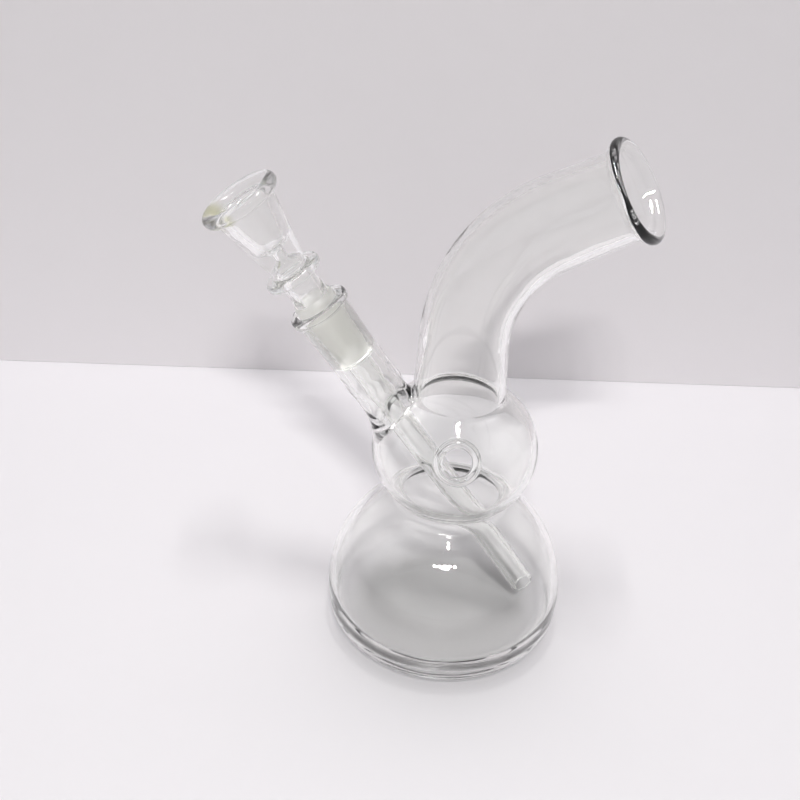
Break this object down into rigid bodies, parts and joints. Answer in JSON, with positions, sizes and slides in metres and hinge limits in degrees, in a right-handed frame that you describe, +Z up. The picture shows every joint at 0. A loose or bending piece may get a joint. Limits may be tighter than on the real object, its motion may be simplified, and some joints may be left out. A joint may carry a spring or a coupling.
{
  "type": "glass water pipe",
  "caption": "Clear glass water pipe with a double-bubble body, bent flared neck, carb hole, and a lift-out bowl and downstem in a slanted ground joint.",
  "frame": {"origin": "on the vertical axis of the body, at the plane it stands on", "axes": "+Z up; the neck's mouth points toward +X, the bowl and its joint lean toward -X, the carb hole faces -Y"},
  "size_m": [0.1479, 0.0884, 0.2052],
  "materials": {
    "clear_glass": "clear, flame polished",
    "ground_glass": "ground, frosted"
  },
  "bodies": {
    "vessel": {"base_floor": "clear_glass", "base_heel": "clear_glass", "lower_chamber": "clear_glass", "lower_shoulder": "clear_glass", "waist_ring": "clear_glass", "upper_cup": "clear_glass", "upper_chamber": "clear_glass", "upper_shoulder": "clear_glass", "upper_crown": "clear_glass", "neck_riser": "clear_glass", "neck_bend": "clear_glass", "neck_run": "clear_glass", "mouth_lip": "clear_glass", "side_arm": "clear_glass", "ground_socket": "ground_glass", "socket_rim": "clear_glass", "carb_seat": "clear_glass", "carb_rim": "clear_glass"},
    "slide": {"bowl": "clear_glass", "bowl_rim": "clear_glass", "maria_ring": "clear_glass", "slide_neck": "clear_glass", "ground_cone": "ground_glass", "downstem_tube": "clear_glass"}
  },
  "joints": [
    {"name": "slide_lift", "type": "slide", "parent": "vessel", "child": "slide", "axis": [-0.5736, 0, 0.8192], "range_m": [0, 0.16]}
  ]
}
